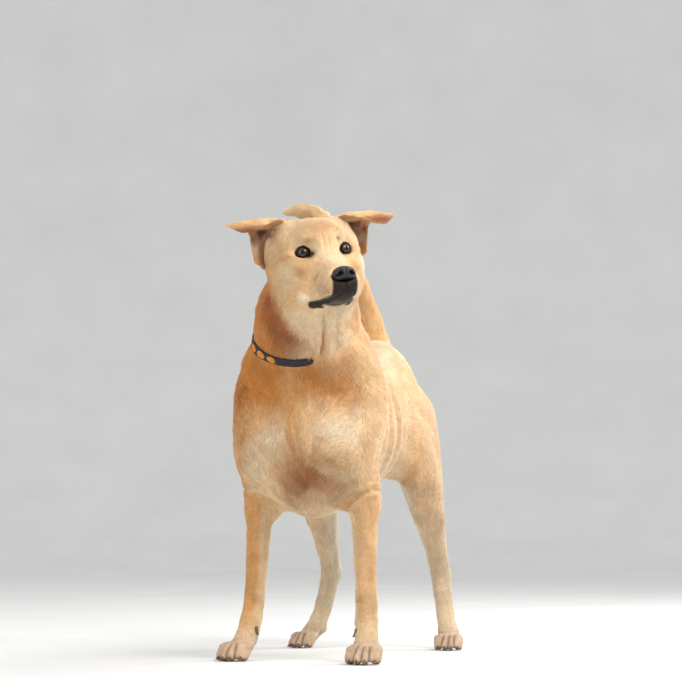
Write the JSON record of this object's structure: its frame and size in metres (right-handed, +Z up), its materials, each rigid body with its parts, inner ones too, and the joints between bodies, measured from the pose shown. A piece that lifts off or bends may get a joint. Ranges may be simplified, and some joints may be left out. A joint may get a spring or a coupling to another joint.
{
  "type": "dog",
  "caption": "Life-size stocky short-coated tan dog standing square, head raised and turned to its left, folded ears, tail up, webbing collar.",
  "frame": {"origin": "on the floor, under the middle of the bounding box", "axes": "the dog faces -Y, its left side is +X, +Z is up"},
  "size_m": [0.333, 0.7116, 0.8029],
  "materials": {
    "coat": "short, flat-lying tan hair, cream on muzzle, throat, chest centre and inner legs, rusty on neck side and lower chest",
    "claw": "dark horn, satin",
    "nose_leather": "moist black skin with a fine pebbled grain",
    "eye": "dark brown iris under a wet cornea",
    "webbing": "black nylon webbing, printed near its right side with orange ovals and navy spots",
    "buckle": "black moulded buckle"
  },
  "bodies": {
    "root": {"chest": "coat", "belly": "coat", "rump": "coat", "neck": "coat", "head": "coat", "muzzle": "coat", "lower_jaw": "coat", "ear_left": "coat", "ear_right": "coat", "tail_base": "coat", "tail_middle": "coat", "tail_tip": "coat", "front_left_paw": "coat", "front_left_leg": "coat", "front_left_dewclaw": "claw", "front_left_claw_first": "claw", "front_left_claw_second": "claw", "front_left_claw_third": "claw", "front_left_claw_fourth": "claw", "front_right_paw": "coat", "front_right_leg": "coat", "front_right_dewclaw": "claw", "front_right_claw_first": "claw", "front_right_claw_second": "claw", "front_right_claw_third": "claw", "front_right_claw_fourth": "claw", "hind_left_paw": "coat", "hind_left_thigh": "coat", "hind_left_shank": "coat", "hind_left_foot": "coat", "hind_left_claw_first": "claw", "hind_left_claw_second": "claw", "hind_left_claw_third": "claw", "hind_left_claw_fourth": "claw", "hind_right_paw": "coat", "hind_right_thigh": "coat", "hind_right_shank": "coat", "hind_right_foot": "coat", "hind_right_claw_first": "claw", "hind_right_claw_second": "claw", "hind_right_claw_third": "claw", "hind_right_claw_fourth": "claw", "nose": "nose_leather", "eye_left": "eye", "eye_right": "eye", "collar": "webbing", "collar_buckle": "buckle"}
  },
  "joints": []
}
